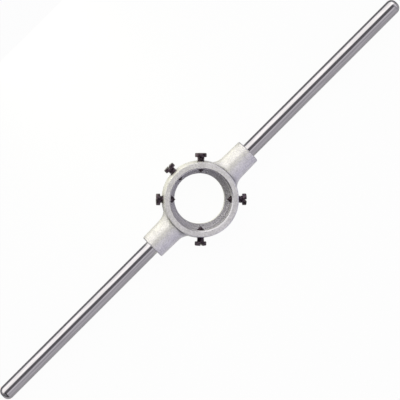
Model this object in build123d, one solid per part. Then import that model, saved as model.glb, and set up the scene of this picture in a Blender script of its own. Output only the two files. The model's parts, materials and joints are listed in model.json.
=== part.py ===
"""Two-handled stock for round threading dies of 65 mm diameter, in millimetres.

The stock lies on its back face. The origin is the centre of that face, +Z points out of
the mouth of the die seat, +X along the right handle and +Y towards the splitting screw.
"""
import os
from math import cos, radians, sin, sqrt, tan

from build123d import *

os.makedirs("parts", exist_ok=True)

# Die seat and the bore behind it
seat_diameter = 65.0
seat_depth = 23.0
mouth_chamfer = 1.4
shoulder_width = 5.5
lip_thickness = 9.0
back_bore_chamfer = 0.4

# Outside of the cast ring, drafted both ways from the parting line through the handles
rim_width = 6.9
front_draft = 1.8
back_draft = 1.8
rim_edge_radius = 1.0
back_edge_chamfer = 0.8
parting_height = 16.0

# Cast bosses that carry the handles, and their flares into the ring
boss_diameter = 28.0
boss_length = 30.8
boss_draft = 0.7
boss_edge_chamfer = 0.8
flare_radius = 16.0
flare_bite = 1.0
flare_sections = 6

# Handles: round bars with a rounded end and a threaded stud
handle_diameter = 16.0
handle_length = 223.1
handle_end_radius = 6.4
stud_diameter = 12.0
stud_length = 24.0
stud_chamfer = 1.2
stud_clearance = 0.05
stud_hole_spare = 2.5
drill_point_angle = 118.0
hole_mouth_chamfer = 0.6

# Screws: cone point, thread nearly up to the head, short neck and slotted head
screw_height_over_shoulder = 12.2
thread_diameter = 8.0
thread_clearance = 0.05
thread_length = 11.4
point_length = 3.5
point_base_diameter = 7.6
point_tip_diameter = 0.6
neck_diameter = 7.4
neck_length = 1.2
head_diameter = 12.4
head_thickness = 4.2
head_edge_chamfer = 0.7
head_underside_chamfer = 0.4
slot_width = 2.2
slot_depth = 2.1

# Each screw: its direction round the ring, how far its point stands into the seat,
# and how far its slot is turned from upright
screws = {
    "clamping_screw_right_upper": (45.0, 3.8, 90.0),
    "splitting_screw": (90.0, 3.7, -11.0),
    "clamping_screw_left_upper": (135.0, 5.5, -18.0),
    "clamping_screw_left_lower": (225.0, 3.9, -4.5),
    "clamping_screw_right_lower": (315.0, 4.4, 6.0),
}

# Sizes that follow from the ones above
seat_radius = seat_diameter / 2
bore_radius = seat_radius - shoulder_width
ring_height = lip_thickness + seat_depth
front_radius = seat_radius + rim_width
parting_radius = front_radius + front_draft
back_radius = parting_radius - back_draft
boss_end = parting_radius + boss_length
screw_height = lip_thickness + screw_height_over_shoulder
screw_length = point_length + thread_length + neck_length + head_thickness


def turned(section, axis):
    """A full turn of a flat section about an axis."""
    return revolve(section, axis=axis, revolution_arc=360)


def corner(section, *point):
    """The section's corner that lies on a point."""
    return min(section.vertices(), key=lambda vertex: (vertex.center() - Vector(*point)).length)


def ring_blank():
    """The ring without its bore, widest at the parting line."""
    outline = Polyline(
        (0, 0, 0),
        (back_radius, 0, 0),
        (parting_radius, 0, parting_height),
        (front_radius, 0, ring_height),
        (0, 0, ring_height),
        close=True,
    )
    section = make_face(outline)
    section = fillet(corner(section, front_radius, 0, ring_height), rim_edge_radius)
    section = chamfer(corner(section, back_radius, 0, 0), back_edge_chamfer)
    return turned(section, Axis.Z)


def boss_radius(x):
    """Radius of the drafted boss at a distance x from the ring's centre."""
    return boss_diameter / 2 + boss_draft * (boss_end - x) / boss_length


# The flare's arc in plan: tangent to the side of the boss and to a circle just inside the ring
flare_foot_radius = parting_radius - flare_bite
flare_arc_y = boss_radius(parting_radius) + flare_radius
flare_arc_x = sqrt((flare_foot_radius + flare_radius) ** 2 - flare_arc_y**2)
flare_foot_x = flare_arc_x * flare_foot_radius / (flare_foot_radius + flare_radius)


def boss():
    """The drafted boss along +X, from the end of its flare to its face."""
    outline = Polyline(
        (flare_arc_x, 0, 0),
        (boss_end, 0, 0),
        (boss_end, 0, boss_radius(boss_end)),
        (flare_arc_x, 0, boss_radius(flare_arc_x)),
        close=True,
    )
    section = make_face(outline)
    section = chamfer(corner(section, boss_end, 0, boss_radius(boss_end)), boss_edge_chamfer)
    return Pos(0, 0, parting_height) * turned(section, Axis.X)


def flare():
    """The concave spread of the boss into the ring: an arc in plan, no higher than the boss."""
    sections = []
    for i in range(flare_sections + 1):
        x = flare_arc_x + (flare_foot_x - flare_arc_x) * i / flare_sections
        spread = flare_radius - sqrt(flare_radius**2 - (flare_arc_x - x) ** 2)
        across = Plane(origin=(x, 0, parting_height), x_dir=(0, 1, 0), z_dir=(1, 0, 0))
        sections.append(across * Ellipse(boss_radius(x) + spread, boss_radius(x)))
    return loft(sections)


def bore_cut():
    """What is turned out of the ring: seat, mouth chamfer, through bore and back chamfer."""
    outline = Polyline(
        (0, 0, 0),
        (bore_radius + back_bore_chamfer, 0, 0),
        (bore_radius, 0, back_bore_chamfer),
        (bore_radius, 0, lip_thickness),
        (seat_radius, 0, lip_thickness),
        (seat_radius, 0, ring_height - mouth_chamfer),
        (seat_radius + mouth_chamfer, 0, ring_height),
        (0, 0, ring_height),
        close=True,
    )
    return turned(make_face(outline), Axis.Z)


def stud_hole():
    """The blind hole for the right handle's stud, with a drill point and a mouth chamfer."""
    radius = stud_diameter / 2 + stud_clearance
    floor = boss_end - stud_length - stud_hole_spare
    point = radius / tan(radians(drill_point_angle / 2))
    outline = Polyline(
        (floor - point, 0, 0),
        (boss_end, 0, 0),
        (boss_end, 0, radius + hole_mouth_chamfer),
        (boss_end - hole_mouth_chamfer, 0, radius),
        (floor, 0, radius),
        close=True,
    )
    return Pos(0, 0, parting_height) * turned(make_face(outline), Axis.X)


def radial_plane(angle, distance):
    """A plane square to a screw's axis, facing outwards, with its x upright."""
    direction = (cos(radians(angle)), sin(radians(angle)), 0)
    place = (distance * direction[0], distance * direction[1], screw_height)
    return Plane(origin=place, x_dir=(0, 0, 1), z_dir=direction)


def screw_hole(angle):
    """The tapped hole for one screw, through the wall of the ring."""
    drill = Cylinder(
        thread_diameter / 2 + thread_clearance,
        parting_radius,
        align=(Align.CENTER, Align.CENTER, Align.MIN),
    )
    return radial_plane(angle, bore_radius) * drill


def stock_body():
    """The casting: ring and bosses in one, then the bore and the tapped holes."""
    right = boss() + flare()
    blank = ring_blank() + right + mirror(right, Plane.YZ)
    body = blank - bore_cut() - stud_hole() - mirror(stud_hole(), Plane.YZ)
    for angle, _, _ in screws.values():
        body -= screw_hole(angle)
    return body


def handle():
    """The right handle: a stud in the boss, a shoulder on its face and a rounded free end."""
    tip = boss_end + handle_length
    outline = Polyline(
        (boss_end - stud_length, 0, 0),
        (tip, 0, 0),
        (tip, 0, handle_diameter / 2),
        (boss_end, 0, handle_diameter / 2),
        (boss_end, 0, stud_diameter / 2),
        (boss_end - stud_length + stud_chamfer, 0, stud_diameter / 2),
        (boss_end - stud_length, 0, stud_diameter / 2 - stud_chamfer),
        close=True,
    )
    section = make_face(outline)
    section = fillet(corner(section, tip, 0, handle_diameter / 2), handle_end_radius)
    return Pos(0, 0, parting_height) * turned(section, Axis.X)


def screw(slot_turn):
    """One screw standing on its point along +Z."""
    thread_end = point_length + thread_length
    head_start = thread_end + neck_length
    outline = Polyline(
        (0, 0, 0),
        (point_tip_diameter / 2, 0, 0),
        (point_base_diameter / 2, 0, point_length),
        (thread_diameter / 2, 0, point_length),
        (thread_diameter / 2, 0, thread_end),
        (neck_diameter / 2, 0, thread_end),
        (neck_diameter / 2, 0, head_start),
        (head_diameter / 2 - head_underside_chamfer, 0, head_start),
        (head_diameter / 2, 0, head_start + head_underside_chamfer),
        (head_diameter / 2, 0, screw_length),
        (0, 0, screw_length),
        close=True,
    )
    section = make_face(outline)
    section = chamfer(corner(section, head_diameter / 2, 0, screw_length), head_edge_chamfer)
    slot = Pos(0, 0, screw_length) * Box(2 * head_diameter, slot_width, 2 * slot_depth)
    return turned(section, Axis.Z) - Rot(0, 0, slot_turn) * slot


pieces = {
    "stock_body": stock_body(),
    "handle_right": handle(),
    "handle_left": mirror(handle(), Plane.YZ),
}
for name, (angle, reach, slot_turn) in screws.items():
    pieces[name] = radial_plane(angle, seat_radius - reach).location * screw(slot_turn)

for name, piece in pieces.items():
    export_step(piece, f"parts/{name}.step")
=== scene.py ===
"""Looks of a two-handled die stock: a cast ring with two bosses, bright bar handles and black
slotted screws. Metres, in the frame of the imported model: +Z out of the die seat, +X along the
right handle and +Y towards the splitting screw.
"""
import json
from math import cos, pi, radians, sin

import bmesh
import bpy
from mathutils import Matrix, Vector


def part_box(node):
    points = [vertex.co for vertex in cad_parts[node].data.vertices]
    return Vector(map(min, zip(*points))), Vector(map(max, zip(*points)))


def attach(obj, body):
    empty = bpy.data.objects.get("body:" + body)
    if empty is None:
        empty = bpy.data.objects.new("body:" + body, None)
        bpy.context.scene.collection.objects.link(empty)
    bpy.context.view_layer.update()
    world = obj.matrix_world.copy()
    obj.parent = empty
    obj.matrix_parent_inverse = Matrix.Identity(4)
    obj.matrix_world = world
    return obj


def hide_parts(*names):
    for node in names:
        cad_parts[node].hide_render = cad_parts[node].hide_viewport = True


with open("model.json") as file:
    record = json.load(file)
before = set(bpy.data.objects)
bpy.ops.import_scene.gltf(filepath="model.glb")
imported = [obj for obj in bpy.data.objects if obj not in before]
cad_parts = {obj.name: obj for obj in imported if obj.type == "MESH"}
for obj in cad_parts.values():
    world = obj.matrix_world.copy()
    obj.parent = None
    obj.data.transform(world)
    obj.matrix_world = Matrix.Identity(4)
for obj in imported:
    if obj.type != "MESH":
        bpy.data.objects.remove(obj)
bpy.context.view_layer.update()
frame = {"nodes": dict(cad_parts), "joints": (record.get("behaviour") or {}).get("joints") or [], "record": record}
MM = 0.001

# Camera: high over the mouth of the seat and tilted a little towards the splitting screw, with
# the handles from corner to corner of a square picture.
camera_target = Vector((-0.88, -0.53, 16.0)) * MM
camera_distance = 2.4
camera_direction = radians(101.35)
camera_tilt = radians(6.41)
camera_roll = radians(44.75)
camera_lens = 203.7
camera_reach = 20

backwards = Vector((
    sin(camera_tilt) * cos(camera_direction),
    sin(camera_tilt) * sin(camera_direction),
    cos(camera_tilt),
))
upwards = Vector((sin(camera_roll), cos(camera_roll), 0))
upwards = (upwards - upwards.dot(backwards) * backwards).normalized()
sideways = upwards.cross(backwards)
camera_data = bpy.data.cameras.new("camera")
camera_data.lens = camera_lens
camera_data.clip_end = camera_reach
camera = bpy.data.objects.new("camera", camera_data)
camera.matrix_world = Matrix.Translation(camera_target + camera_distance * backwards) @ Matrix(
    (sideways, upwards, backwards)
).transposed().to_4x4()
bpy.context.scene.collection.objects.link(camera)
bpy.context.scene.camera = camera


# Casting: the ring and its two bosses, poured in one piece of a light zinc alloy. The outside
# keeps its fine blasted grain, and its creases and corners are darkened as painted shade. The
# seat, its shoulder, the bore and the bosses' ends are turned.
class Finish:
    """The nodes of a material or of the world, and the one method that adds them."""

    def __init__(self, owner):
        owner.use_nodes = True
        self.owner = owner
        self.tree = owner.node_tree
        self.tree.nodes.clear()

    def node(self, kind, settings, sockets, output=0):
        """Add a node: its settings first, then a value or a link for each socket."""
        made = self.tree.nodes.new("ShaderNode" + kind)
        for name, value in settings.items():
            setattr(made, name, value)
        for name, value in sockets.items():
            if isinstance(value, Wire):
                self.tree.links.new(value.socket, made.inputs[name])
            else:
                made.inputs[name].default_value = value
        return Wire(self, made.outputs[output]) if len(made.outputs) else None

    def axes(self, place):
        """The three coordinates of a place."""
        x = self.node("SeparateXYZ", {}, {"Vector": place})
        return [Wire(self, output) for output in x.socket.node.outputs]

    def mix(self, factor, first, second):
        """A colour between two colours."""
        return self.node("Mix", {"data_type": "RGBA"}, {0: factor, 6: first, 7: second}, 2)

    def fade(self, value, low, high, start=0.0, end=1.0):
        """A smooth change from start to end while value goes from low to high."""
        ends = {"Value": value, "From Min": low, "From Max": high, "To Min": start, "To Max": end}
        return self.node("MapRange", {"interpolation_type": "SMOOTHSTEP"}, ends)

    def noise(self, place, size, detail=2.0):
        """Cloudy noise with patches of a size in metres."""
        return self.node("TexNoise", {}, {"Vector": place, "Scale": 1 / size, "Detail": detail})

    def end(self, kind, sockets):
        """Close the tree with a shader and the output."""
        shader = self.node(kind, {}, sockets)
        output = "OutputWorld" if isinstance(self.owner, bpy.types.World) else "OutputMaterial"
        self.node(output, {}, {"Surface": shader})


class Wire:
    """An output of a node. Arithmetic on it adds Math nodes."""

    def __init__(self, finish, socket):
        self.finish = finish
        self.socket = socket

    def math(self, operation, first, second=0.0):
        return self.finish.node("Math", {"operation": operation}, {0: first, 1: second})

    def __add__(self, other):
        return self.math("ADD", self, other)

    def __sub__(self, other):
        return self.math("SUBTRACT", self, other)

    def __rsub__(self, other):
        return self.math("SUBTRACT", other, self)

    def __mul__(self, other):
        return self.math("MULTIPLY", self, other)

    def __truediv__(self, other):
        return self.math("DIVIDE", self, other)

    def __pow__(self, other):
        return self.math("POWER", self, other)

    def __lt__(self, other):
        return self.math("LESS_THAN", self, other)

    def __gt__(self, other):
        return self.math("GREATER_THAN", self, other)

    __radd__ = __add__
    __rmul__ = __mul__


def grey(value, tint=(1, 1, 1)):
    """A grey with a faint tint."""
    return (value * tint[0], value * tint[1], value * tint[2], 1)


mounts = {mount["name"]: mount for mount in frame["record"]["mounts"]}
seat_radius = mounts["die_seat"]["dims"]["r_mm"] * MM
mouth_chamfer = 1.4 * MM
back_face_skin = 0.2 * MM
facing_width = 0.6 * MM
faced_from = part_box("stock_body")[1].x - facing_width
edge_width = 0.05 * MM
edge_softness = 0.3 * MM
# Painted shade: how far ambient occlusion looks, the dark grey, and the occlusion range over which creases of the
# outside are darkened.
painted_shade_reach = 6.0 * MM
painted_shade_grey = 0.10
painted_shade_full, painted_shade_gone = 0.68, 0.99
zinc_tint = (1.0, 0.97, 1.10)
zinc_dark, zinc_light = 0.64, 0.91
turned_tint = (1.0, 0.975, 1.06)
turned_dark, turned_light = 0.68, 0.92
# Painted highlight: how much lighter the mouth chamfer is painted.
chamfer_painted_highlight = 0.1
blasted_metal, turned_metal, chamfer_metal = 0.34, 0.84, 0.97
blasted_roughness, turned_roughness = 0.32, 0.26
speckle_size, speckle_share = 1.3 * MM, 0.6
cloud_size, cloud_share = 9.0 * MM, 0.25
grain_size, grain_share = 0.6 * MM, 0.15
fine_detail = 3.0
patch_low, patch_high = 0.35, 0.65
grain_depth = 0.03 * MM
groove_size = 0.25 * MM
groove_depth = 0.26 * MM

cast = Finish(bpy.data.materials.new("cast_zinc"))
place = cast.node("TexCoord", {}, {}, "Object")
x, y, z = cast.axes(place)
radius = (x * x + y * y) ** 0.5
inside = (radius < seat_radius + mouth_chamfer) * (z > back_face_skin)
chamfer = inside * (radius > seat_radius + edge_width)
faced = x * x > faced_from ** 2
turned = inside - chamfer + faced
speckle = cast.noise(place, speckle_size, fine_detail)
clouds = cast.noise(place, cloud_size)
grain = cast.noise(place, grain_size, fine_detail)
along_cut = (radius + z) / groove_size
grooves = cast.node("TexNoise", {"noise_dimensions": "1D"}, {"W": along_cut, "Scale": 1.0})
near_walls = {"samples": 8, "only_local": True}
open_to_light = cast.node("AmbientOcclusion", near_walls, {"Distance": painted_shade_reach}, "AO")
tone = speckle_share * speckle + cloud_share * clouds + grain_share * grain
patches = cast.fade(tone, patch_low, patch_high)
blasted = cast.mix(patches, grey(zinc_dark, zinc_tint), grey(zinc_light, zinc_tint))
# The turned tone follows the grooves, and the mouth chamfer is painted lighter as a painted highlight.
grooves_and_painted_highlight = grooves + chamfer_painted_highlight * chamfer
lathed = cast.mix(grooves_and_painted_highlight, grey(turned_dark, turned_tint), grey(turned_light, turned_tint))
bare = cast.mix(inside + faced, blasted, lathed)
# Painted shade: the blasted outside turns towards a dark grey where ambient occlusion finds creases and corners;
# the turned inside is left as it is.
shade = cast.fade(open_to_light, painted_shade_full, painted_shade_gone) * (1 - inside) + inside
soft_edges = cast.node("Bevel", {"samples": 4}, {"Radius": edge_softness})
height = grain * (1 - inside) * grain_depth + grooves * turned * groove_depth
relief = {"Strength": 1.0, "Distance": 1.0, "Height": height, "Normal": soft_edges}
more_metal = (turned_metal - blasted_metal) * turned + (chamfer_metal - blasted_metal) * chamfer
cast.end("BsdfPrincipled", {
    "Base Color": cast.mix(shade, grey(painted_shade_grey), bare),
    "Metallic": blasted_metal + more_metal,
    "Roughness": blasted_roughness + (turned_roughness - blasted_roughness) * inside,
    "Normal": cast.node("Bump", {}, relief),
})
for slot in frame["nodes"]["stock_body"].material_slots:
    slot.material = cast.owner


# Handles: round steel bars, ground and bright chromed, screwed into the bosses up to their
# shoulders. Fine lines of the grinding run along them.
chrome_tint = (1.01, 0.975, 1.035)
chrome_dark, chrome_light = 0.72, 0.86
chrome_roughness = 0.07
line_roughness = 0.06
line_width = 1.2 * MM
line_stretch = 20
line_depth = 0.009 * MM

chrome = Finish(bpy.data.materials.new("bright_chrome"))
place = chrome.node("TexCoord", {}, {}, "Object")
along = chrome.node("Mapping", {}, {"Vector": place, "Scale": (1 / line_stretch, 1, 1)})
lines = chrome.noise(along, line_width)
streaks = chrome.fade(lines, patch_low, patch_high)
chrome.end("BsdfPrincipled", {
    "Base Color": chrome.mix(streaks, grey(chrome_dark, chrome_tint), grey(chrome_light, chrome_tint)),
    "Metallic": 1.0,
    "Roughness": chrome_roughness + line_roughness * lines,
    "Normal": chrome.node("Bump", {}, {"Strength": 1.0, "Distance": line_depth, "Height": lines}),
})
for name in ("handle_right", "handle_left"):
    for slot in frame["nodes"][name].material_slots:
        slot.material = chrome.owner


# Screws: five slotted cheese-head screws with a cone point, turned from steel and blackened in
# oil. Each stands in its tapped hole in the ring, and the thread is cut as a true helix.
pitch = 1.25 * MM
crest_radius = 4.0 * MM
root_radius = 3.32 * MM
crest_flat = 0.16 * MM
flank = 0.39 * MM
point_length = 3.5 * MM
point_base_radius = 3.8 * MM
point_tip_radius = 0.3 * MM
thread_length = 11.4 * MM
neck_radius = 3.7 * MM
neck_length = 1.2 * MM
head_radius = 6.2 * MM
head_thickness = 4.2 * MM
head_edge = 0.7 * MM
head_underside = 0.4 * MM
slot_width = 2.2 * MM
slot_depth = 2.1 * MM
steps_per_turn = 48
edge_steps = 4
spare_turns = 4
weld_distance = 0.001 * MM
slot_turns = {
    "clamping_screw_right_upper": 90.0,
    "splitting_screw": -11.0,
    "clamping_screw_left_upper": -18.0,
    "clamping_screw_left_lower": -4.5,
    "clamping_screw_right_lower": 6.0,
}

neck_start = point_length + thread_length
head_start = neck_start + neck_length
head_top = head_start + head_thickness

oil_black = (0.012, 0.007, 0.011, 1)
worn_black = (0.125, 0.088, 0.124, 1)
worn_low, worn_high = 0.3, 0.7
worn_size = 3.0 * MM
black_metal = 0.5
black_roughness = 0.22
worn_roughness = 0.14
pore_size = 0.3 * MM
pore_depth = 0.01 * MM

black = Finish(bpy.data.materials.new("blackened_steel"))
place = black.node("TexCoord", {}, {}, "Object")
worn = black.noise(place, worn_size, fine_detail)
pores = black.noise(place, pore_size)
black.end("BsdfPrincipled", {
    "Base Color": black.mix(black.fade(worn, worn_low, worn_high), oil_black, worn_black),
    "Metallic": black_metal,
    "Roughness": black_roughness + worn_roughness * worn,
    "Normal": black.node("Bump", {}, {"Strength": 1.0, "Distance": pore_depth, "Height": pores}),
})


def carry(mesh, rim, radius, height):
    """Extrude an open rim to a circle of some radius at a height on the screw's axis."""
    made = bmesh.ops.extrude_edge_only(mesh, edges=rim)["geom"]
    for vertex in [part for part in made if isinstance(part, bmesh.types.BMVert)]:
        vertex.co.xy = vertex.co.xy.normalized() * radius
        vertex.co.z = height
    return [part for part in made if isinstance(part, bmesh.types.BMEdge)]


def rim_at(mesh, height):
    """The open edges that lie at a height."""
    level = [e for e in mesh.edges if e.is_boundary]
    return [e for e in level if all(abs(v.co.z - height) < 10 * weld_distance for v in e.verts)]


def thread(mesh):
    """A helix of one thread form, cut off square at both ends of the threaded length."""
    start = point_length - spare_turns / 2 * pitch
    turns = round(thread_length / pitch + spare_turns)
    form = [
        (root_radius, 0),
        (crest_radius, flank),
        (crest_radius, flank + crest_flat),
        (root_radius, 2 * flank + crest_flat),
        (root_radius, pitch),
    ]
    corners = [mesh.verts.new((radius, 0, start + rise)) for radius, rise in form]
    edges = [mesh.edges.new(pair) for pair in zip(corners, corners[1:])]
    bmesh.ops.spin(
        mesh,
        geom=corners + edges,
        cent=(0, 0, 0),
        axis=(0, 0, 1),
        dvec=(0, 0, pitch / steps_per_turn),
        angle=2 * pi * turns,
        steps=steps_per_turn * turns,
        use_merge=False,
    )
    bmesh.ops.remove_doubles(mesh, verts=mesh.verts, dist=weld_distance)
    for height, side in ((point_length, -1), (neck_start, 1)):
        everything = mesh.verts[:] + mesh.edges[:] + mesh.faces[:]
        bmesh.ops.bisect_plane(
            mesh,
            geom=everything,
            dist=weld_distance,
            plane_co=(0, 0, height),
            plane_no=(0, 0, side),
            clear_outer=True,
        )


def screw():
    """One screw standing on its point along +Z."""
    mesh = bmesh.new()
    thread(mesh)
    rim = carry(mesh, rim_at(mesh, point_length), point_base_radius, point_length)
    rim = carry(mesh, rim, point_tip_radius, 0)
    bmesh.ops.holes_fill(mesh, edges=rim)
    rim = carry(mesh, rim_at(mesh, neck_start), neck_radius, neck_start)
    rim = carry(mesh, rim, neck_radius, head_start)
    rim = carry(mesh, rim, head_radius - head_underside, head_start)
    rim = carry(mesh, rim, head_radius, head_start + head_underside)
    for step in range(edge_steps + 1):
        turn = pi / 2 * step / edge_steps
        inwards = head_edge * (1 - cos(turn))
        downwards = head_edge * (1 - sin(turn))
        rim = carry(mesh, rim, head_radius - inwards, head_top - downwards)
    bmesh.ops.holes_fill(mesh, edges=rim)
    bmesh.ops.recalc_face_normals(mesh, faces=mesh.faces)
    for face in mesh.faces:
        face.smooth = True
    data = bpy.data.meshes.new("screw")
    mesh.to_mesh(data)
    mesh.free()
    return data


def slot_cutter(slot_turn):
    """The blade that saws the slot across the head."""
    mesh = bmesh.new()
    turned_blade = Matrix.Rotation(radians(slot_turn), 3, "Z")
    bmesh.ops.create_cube(mesh, size=1)
    bmesh.ops.scale(mesh, verts=mesh.verts, vec=(3 * head_radius, slot_width, 2 * slot_depth))
    bmesh.ops.translate(mesh, verts=mesh.verts, vec=(0, 0, head_top))
    bmesh.ops.rotate(mesh, verts=mesh.verts, cent=(0, 0, 0), matrix=turned_blade)
    data = bpy.data.meshes.new("slot_cutter")
    mesh.to_mesh(data)
    mesh.free()
    return bpy.data.objects.new("slot_cutter", data)


def slotted(piece, cutter):
    """Saw the slot and keep the result as the piece's own mesh."""
    bpy.context.scene.collection.objects.link(cutter)
    cut = piece.modifiers.new("slot", "BOOLEAN")
    cut.operation = "DIFFERENCE"
    cut.solver = "EXACT"
    cut.object = cutter
    depsgraph = bpy.context.evaluated_depsgraph_get()
    piece.data = bpy.data.meshes.new_from_object(piece.evaluated_get(depsgraph))
    piece.modifiers.clear()
    bpy.data.objects.remove(cutter)


for joint in frame["joints"]:
    name = joint["child"]
    outwards = -Vector(joint["axis"]).normalized()
    solid = frame["nodes"][name]
    low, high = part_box(name)
    reach = min(vertex.co.dot(outwards) for vertex in solid.data.vertices)
    tip = Vector((0, 0, (low.z + high.z) / 2)) + reach * outwards
    piece = bpy.data.objects.new(name + "_threaded", screw())
    bpy.context.scene.collection.objects.link(piece)
    slotted(piece, slot_cutter(slot_turns[name]))
    upright = Vector((0, 0, 1))
    stand = Matrix((upright, outwards.cross(upright), outwards)).transposed().to_4x4()
    piece.data.transform(Matrix.Translation(tip) @ stand)
    piece.data.materials.clear()
    piece.data.materials.append(black.owner)
    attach(piece, name)
    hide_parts(name)


# Floor: a wide white table. The camera sees it nearly white, with a faint shadow. Metal sees a
# painted reflection instead: the table glows grey, darker close to the dark object as painted
# shade, with painted light at the bore's far edge and beside the casting, and white further out
# on the splitting screw's side.
floor_reach = 6.0
floor_drop = 0.05 * MM
paper_grey = 0.8
camera_white = 0.96
casting_ends = (66 * MM, 80 * MM)
boss_roots = (34 * MM, 48 * MM)
bore_edge = (26 * MM, 30 * MM)
bore_far_side = (-26 * MM, -19 * MM)
boss_front = (5 * MM, 30 * MM)
back_to_middle = (-20 * MM, 0)
# Painted reflection levels: painted shade behind and before the middle, painted light in the bore, beside the
# casting and bosses, and white further out, with a cream tint beside the casting.
grey_behind, grey_before = 0.36, 0.16
bore_light = 0.75
casting_light = 0.22
boss_light = 0.22
white_start = (82 * MM, 146 * MM)
white_nearer = 61 * MM
white_light = 0.98
cream_light = (1.0, 1.01, 0.85, 1)

mesh = bmesh.new()
bmesh.ops.create_grid(mesh, x_segments=1, y_segments=1, size=floor_reach)
bmesh.ops.translate(mesh, verts=mesh.verts, vec=(0, 0, -floor_drop))
floor = bpy.data.objects.new("floor", bpy.data.meshes.new("floor"))
mesh.to_mesh(floor.data)
mesh.free()
bpy.context.scene.collection.objects.link(floor)

white = Finish(bpy.data.materials.new("white_table"))
place = white.node("TexCoord", {}, {}, "Object")
x, y, z = white.axes(place)
camera_ray = white.node("LightPath", {}, {}, "Is Camera Ray")
glossy_ray = white.node("LightPath", {}, {}, "Is Glossy Ray")


def within(square, places):
    """One nearer than the first place and nought beyond the second, by a squared distance."""
    return white.fade(square, places[0] ** 2, places[1] ** 2, 1.0, 0.0)


# Masks of the painted reflection: beside the casting, beside the bosses' roots, and a pool of painted light inside
# the bore on its far side.
by_casting = within(x * x, casting_ends)
by_bosses = by_casting * (1 - within(x * x, boss_roots)) * white.fade(y, *boss_front)
in_bore = within(x * x + y * y, bore_edge) * white.fade(y, *bore_far_side, 1.0, 0.0)
strength = white.fade(y, *back_to_middle, grey_behind, grey_before)
strength = strength + bore_light * in_bore
strength = strength + casting_light * by_casting + boss_light * by_bosses
strength = strength + white.fade(y + white_nearer * by_casting, *white_start, 0.0, white_light)
paper = white.node("BsdfDiffuse", {}, {"Color": grey(paper_grey)})
seen = white.node("Emission", {}, {"Color": grey(1.0), "Strength": 1.0})
cream = white.mix(by_casting, grey(1.0), cream_light)
painted_reflection = white.node("Emission", {}, {"Color": cream, "Strength": strength})
lit = white.node("MixShader", {}, {0: camera_white * camera_ray, 1: paper, 2: seen})
white.end("MixShader", {0: glossy_ray, 1: lit, 2: painted_reflection})
floor.data.materials.append(white.owner)


# Light: a long softbox low on the side of the splitting screw, pale walls and a dim ceiling. The
# walls past the handles are dark low down and pale higher up. Slants are degrees from overhead
# towards the splitting screw, and the other spans are parts of a direction of length one.
room_level = 0.39
room_steps = [
    (-82, -66, 0.04),
    (-60, -44, -0.08),
    (-37, -24, 0.20),
    (-23, -3, -0.44),
]
softbox_start = (27, 44)
softbox_steps = [
    (*softbox_start, 1.06),
    (80, 96, -0.80),
]
softbox_ends = (0.45, 0.9)
left_to_right = (-0.7, 0.7)
end_levels = (0.02, 0.28)
high_end_levels = (0.16, 0.34)
high_up = (0.05, 0.40)
high_ends_from = (0.36, 0.62)
middle_to_ends = (0.02, 0.3)
room_tint = (1.0, 0.98, 1.01, 1)
softbox_tint = (1.0, 0.99, 0.93, 1)
ambient_tint = (1.0, 0.98, 1.11, 1)
ambient_level = 1.0
overhead_loss = 0.16
behind_span, behind_loss = (-0.9, -0.1), 0.04
left_span, left_share = (-0.9, 0.3), 0.15
both_ends_span, both_ends_share = (0.1, 0.7), 0.6

studio = Finish(bpy.data.worlds.new("studio"))
way = studio.node("TexCoord", {}, {}, "Generated")
x, y, z = studio.axes(way)
camera_ray = studio.node("LightPath", {}, {}, "Is Camera Ray")
glossy_ray = studio.node("LightPath", {}, {}, "Is Glossy Ray")
slant = studio.node("Math", {"operation": "ARCTAN2"}, {0: y, 1: z}) * (180 / pi)
room = room_level + sum(studio.fade(slant, start, stop, 0.0, change) for start, stop, change in room_steps)
softbox = sum(studio.fade(slant, start, stop, 0.0, change) for start, stop, change in softbox_steps)
ends = studio.fade(x, *left_to_right, *end_levels)
high_ends = studio.fade(x, *left_to_right, *high_end_levels) * studio.fade(z, *high_up)
ends = ends + high_ends * studio.fade(x * x, *high_ends_from)
sideward = studio.fade(x * x, *middle_to_ends)
seen_in_metal = room * (1 - sideward) + ends * sideward
seen_in_metal = seen_in_metal + softbox * studio.fade(x * x, *softbox_ends, 1.0, 0.0)
ambient = ambient_level - overhead_loss * z
ambient = ambient + studio.fade(y, *behind_span, -behind_loss, 0.0)
ambient = ambient * studio.fade(x, *left_span, left_share, 1.0)
ambient = ambient * studio.fade(x * x, *both_ends_span, 1.0, both_ends_share)
level = glossy_ray * seen_in_metal + (1 - glossy_ray) * ambient
level = camera_ray + (1 - camera_ray) * level
tint = studio.mix(studio.fade(slant, *softbox_start), room_tint, softbox_tint)
tint = studio.mix(glossy_ray, ambient_tint, tint)
tint = studio.mix(camera_ray, tint, grey(1.0))
studio.end("Background", {"Color": tint, "Strength": level})
bpy.context.scene.world = studio.owner

key_distance = 0.24
key_height = radians(17)
key_length = 1.6
key_width = 0.13
key_power = 1.9
key_colour = (1.0, 1.02, 0.50)

key_data = bpy.data.lights.new("softbox", "AREA")
key_data.shape = "RECTANGLE"
key_data.size = key_length
key_data.size_y = key_width
key_data.energy = key_power
key_data.color = key_colour
key = bpy.data.objects.new("softbox", key_data)
key_way = Vector((0, cos(key_height), sin(key_height)))
facing = key_way.to_track_quat("Z", "X").to_matrix().to_4x4()
key.matrix_world = Matrix.Translation(key_distance * key_way) @ facing
key.visible_glossy = False
bpy.context.scene.collection.objects.link(key)

bpy.context.scene.view_settings.view_transform = "Standard"
